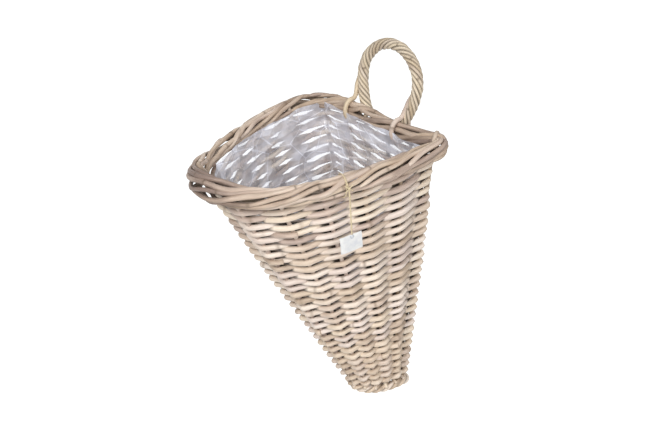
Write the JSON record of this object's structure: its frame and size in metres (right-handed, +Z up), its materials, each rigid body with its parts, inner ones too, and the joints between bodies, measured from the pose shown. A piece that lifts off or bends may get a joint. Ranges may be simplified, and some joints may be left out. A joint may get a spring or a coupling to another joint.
{
  "type": "wall basket",
  "caption": "Half round woven rattan basket that hangs on a wall by a twisted ring, tapering to a small closed foot, with a clear film liner and a small tag on a thread.",
  "frame": {"origin": "inside top of the hanging ring, where it sits on the hook", "axes": "+Z up, +Y towards the wall, X across the width of the flat back"},
  "size_m": [0.2763, 0.3498, 0.5294],
  "materials": {
    "weaver_rattan": "bare peeled rattan, pale beige with a grey pink cast, satin",
    "stake_rattan": "bare rattan, a little darker",
    "border_rattan": "bare rattan, greyer brown, satin",
    "ring_rattan": "bare rattan, warm beige, satin",
    "clear_film": "thin clear plastic film, creased, glossy",
    "thread": "thin pale twine",
    "eyelet_metal": "small pressed eyelet",
    "tag_card": "smooth white card, bare"
  },
  "bodies": {
    "basket": {"weaver_a_1": "weaver_rattan", "weaver_b_1": "weaver_rattan", "weaver_a_2": "weaver_rattan", "weaver_b_2": "weaver_rattan", "weaver_a_3": "weaver_rattan", "weaver_b_3": "weaver_rattan", "weaver_a_4": "weaver_rattan", "weaver_b_4": "weaver_rattan", "weaver_a_5": "weaver_rattan", "weaver_b_5": "weaver_rattan", "weaver_a_6": "weaver_rattan", "weaver_b_6": "weaver_rattan", "stake_01": "stake_rattan", "stake_02": "stake_rattan", "stake_03": "stake_rattan", "stake_04": "stake_rattan", "stake_05": "stake_rattan", "stake_06": "stake_rattan", "stake_07": "stake_rattan", "stake_08": "stake_rattan", "stake_09": "stake_rattan", "stake_10": "stake_rattan", "stake_11": "stake_rattan", "stake_12": "stake_rattan", "stake_13": "stake_rattan", "stake_14": "stake_rattan", "stake_15": "stake_rattan", "stake_16": "stake_rattan", "border_strand_1": "border_rattan", "border_strand_2": "border_rattan", "border_strand_3": "border_rattan", "border_strand_4": "border_rattan", "ring_core": "ring_rattan", "ring_strand_1": "ring_rattan", "ring_strand_2": "ring_rattan", "ring_strand_3": "ring_rattan", "ring_strand_4": "ring_rattan", "ring_strand_5": "ring_rattan", "ring_strand_6": "ring_rattan", "base": "border_rattan", "lashing_left": "border_rattan", "lashing_right": "border_rattan", "film_liner": "clear_film", "thread_loop": "thread"},
    "hang_tag": {"thread": "thread", "tag_eyelet": "eyelet_metal", "tag": "tag_card"}
  },
  "joints": [
    {"name": "tag_swing", "type": "hinge", "parent": "basket", "child": "hang_tag", "pos_m": [0.12518, -0.19288, -0.09128], "axis": [-0.2446, -0.9696, 0], "range_deg": [-14, 75]}
  ]
}
